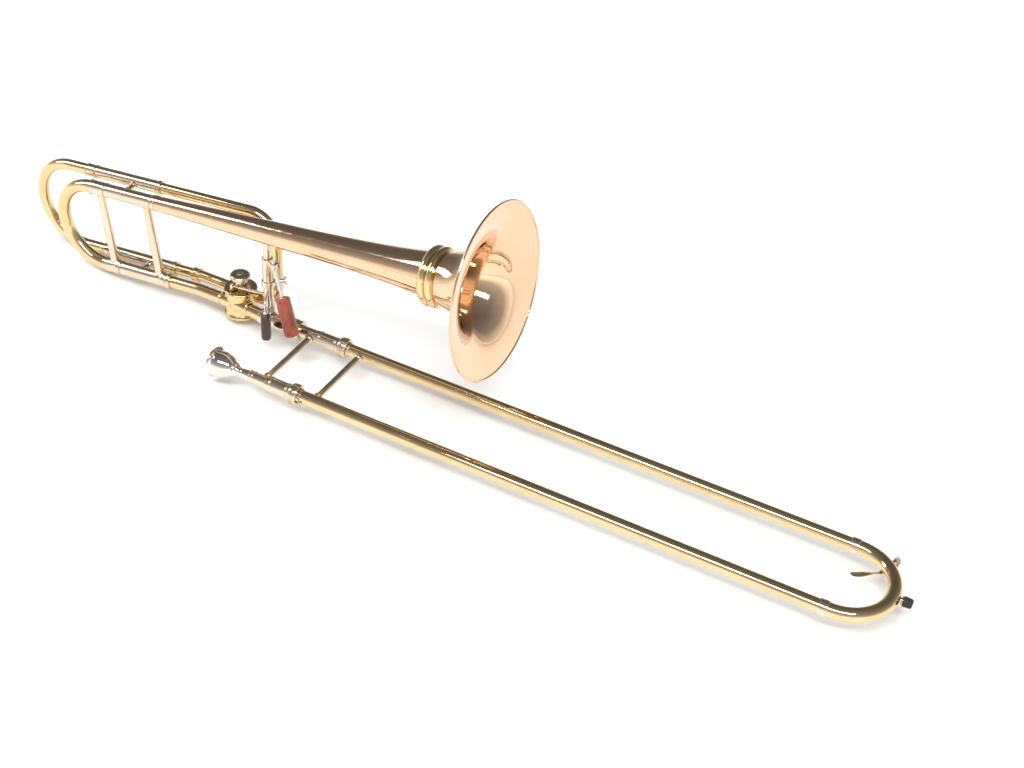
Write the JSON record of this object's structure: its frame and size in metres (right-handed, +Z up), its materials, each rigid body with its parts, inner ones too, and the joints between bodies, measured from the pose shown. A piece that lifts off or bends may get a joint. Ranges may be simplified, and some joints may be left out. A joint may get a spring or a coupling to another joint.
{
  "type": "trombone",
  "caption": "Tenor trombone with a hand slide, an open F tuning loop on a rotary valve, a screw-on flared bell and a wooden hand rest.",
  "frame": {"origin": "middle of the bounding box, on the level that its lowest point stands on", "axes": "+X along the hand slide towards its bow and bumper, +Y from the mouthpiece side to the bell side, +Z up from the plane of the slide"},
  "size_m": [1.2313, 0.2297, 0.2949],
  "materials": {
    "yellow_brass": "lacquered and polished",
    "rose_brass": "lacquered and polished rose brass",
    "nickel_silver": "polished nickel silver",
    "silver_plate": "bright silver plate",
    "plated_steel": "polished steel",
    "black_rubber": "matt black rubber",
    "cork": "fine cork",
    "red_wood": "oiled red wood, fine grain",
    "dark_wood": "dark polished wood"
  },
  "bodies": {
    "bell_section": {"bell_tail": "rose_brass", "bell_ring_male": "yellow_brass", "tuning_sleeves": "nickel_silver", "sleeve_bands": "nickel_silver", "rear_bell_brace": "nickel_silver", "main_lower_leg": "yellow_brass", "neckpipe": "yellow_brass", "slide_receiver": "nickel_silver", "front_strut": "nickel_silver", "valve_casing": "yellow_brass", "bearing_plates": "yellow_brass", "stop_corks": "cork", "f_sleeves": "nickel_silver", "f_lower_leg": "yellow_brass", "f_return_tube": "yellow_brass", "f_connector_rings": "yellow_brass", "f_stays": "nickel_silver"},
    "bell_flare": {"bell_flare": "rose_brass", "bell_ring_female": "yellow_brass"},
    "tuning_slide": {"tuning_slide_bow": "yellow_brass", "tuning_slide_ferrules": "nickel_silver", "tuning_slide_brace": "nickel_silver"},
    "f_slide": {"f_tuning_bow": "yellow_brass", "f_bow_ferrules": "nickel_silver"},
    "rotor": {"valve_rotor": "yellow_brass", "stop_arm": "yellow_brass", "rotor_knob": "nickel_silver"},
    "link": {"link_rod": "nickel_silver"},
    "trigger": {"trigger_hub": "nickel_silver", "trigger_stem": "plated_steel", "trigger_paddle": "dark_wood"},
    "valve_cap": {"valve_cap": "yellow_brass"},
    "hand_rest": {"hand_rest_clamp": "nickel_silver", "hand_rest_rod": "plated_steel", "hand_rest_grip": "red_wood"},
    "hand_rest_screw": {"hand_rest_screw": "plated_steel"},
    "inner_slide": {"inner_slide_tubes": "nickel_silver", "near_cork_barrel": "nickel_silver", "far_cork_barrel": "nickel_silver", "barrel_corks": "cork", "barrel_springs": "plated_steel", "far_barrel_ring": "nickel_silver", "inner_slide_brace": "nickel_silver", "mouthpiece_receiver": "nickel_silver", "leadpipe": "yellow_brass", "slide_tenon": "nickel_silver"},
    "slide_lock_ring": {"slide_lock_ring": "nickel_silver"},
    "slide_lock_nut": {"slide_lock_nut": "nickel_silver"},
    "mouthpiece": {"mouthpiece": "silver_plate"},
    "outer_slide": {"outer_slide_tubes": "yellow_brass", "outer_slide_end_rings": "nickel_silver", "outer_slide_brace": "nickel_silver", "slide_bow": "yellow_brass", "bow_ferrules": "nickel_silver", "bumper_socket": "yellow_brass", "rubber_bumper": "black_rubber", "water_key_nipple": "nickel_silver", "water_key_pin": "plated_steel"},
    "water_key": {"water_key_lever": "nickel_silver", "water_key_cork": "cork"}
  },
  "joints": [
    {"name": "main_tuning_slide", "type": "slide", "parent": "bell_section", "child": "tuning_slide", "axis": [-0.9944, 0, -0.1054], "range_m": [0, 0.055]},
    {"name": "f_tuning_slide", "type": "slide", "parent": "bell_section", "child": "f_slide", "axis": [-0.9944, 0, -0.1054], "range_m": [0, 0.08]},
    {"name": "bell_unscrew", "type": "hinge", "parent": "bell_section", "child": "bell_flare", "pos_m": [0.00783, 0.00986, 0.18262], "axis": [0.9944, 0, 0.1054], "continuous": true},
    {"name": "rotor_turn", "type": "hinge", "parent": "bell_section", "child": "rotor", "pos_m": [-0.28149, 0.02286, 0.03136], "axis": [0, 0, 1], "range_deg": [0, 90], "stiffness_Nm_per_rad": 0.05, "springref_deg": -11.46},
    {"name": "link_swing", "type": "hinge", "parent": "rotor", "child": "link", "pos_m": [-0.28576, 0.01112, 0.05361], "axis": [0, 0, 1], "range_deg": [-93.24, 2]},
    {"name": "trigger_swing", "type": "hinge", "parent": "bell_section", "child": "trigger", "pos_m": [-0.22899, 0.00986, 0.05786], "axis": [0, 0, 1], "range_deg": [-68.08, 2]},
    {"name": "valve_cap_turn", "type": "hinge", "parent": "bell_section", "child": "valve_cap", "pos_m": [-0.28149, 0.02286, 0.02786], "axis": [0, 0, 1], "continuous": true},
    {"name": "hand_rest_turn", "type": "hinge", "parent": "bell_section", "child": "hand_rest", "pos_m": [-0.22899, 0.00986, 0.09786], "axis": [0, 0, 1], "range_deg": [-10, 2]},
    {"name": "hand_rest_screw_turn", "type": "hinge", "parent": "hand_rest", "child": "hand_rest_screw", "pos_m": [-0.22192, 0.01693, 0.08336], "axis": [0.7071, 0.7071, 0], "continuous": true},
    {"name": "slide_turn", "type": "hinge", "parent": "bell_section", "child": "inner_slide", "pos_m": [-0.17349, 0.00986, 0.02786], "axis": [1, 0, 0], "range_deg": [-12, 12]},
    {"name": "slide_lock_nut_turn", "type": "hinge", "parent": "inner_slide", "child": "slide_lock_nut", "pos_m": [-0.18649, 0.00986, 0.02786], "axis": [1, 0, 0], "continuous": true},
    {"name": "slide_lock_turn", "type": "hinge", "parent": "inner_slide", "child": "slide_lock_ring", "pos_m": [-0.11349, -0.09564, 0.02786], "axis": [1, 0, 0], "range_deg": [-22, 0]},
    {"name": "mouthpiece_pull", "type": "slide", "parent": "inner_slide", "child": "mouthpiece", "axis": [-1, 0, 0], "range_m": [0, 0.03]},
    {"name": "hand_slide", "type": "slide", "parent": "inner_slide", "child": "outer_slide", "axis": [1, 0, 0], "range_m": [0, 0.59]},
    {"name": "water_key_press", "type": "hinge", "parent": "outer_slide", "child": "water_key", "pos_m": [0.57326, -0.00076, 0.01616], "axis": [-0.7986, 0.6018, 0], "range_deg": [0, 14], "stiffness_Nm_per_rad": 0.06, "springref_deg": -17.19}
  ],
  "couplings": [
    {"joint": "link_swing", "follows": "rotor_turn", "ratio": -1.0138},
    {"joint": "trigger_swing", "follows": "rotor_turn", "ratio": -0.73422}
  ]
}
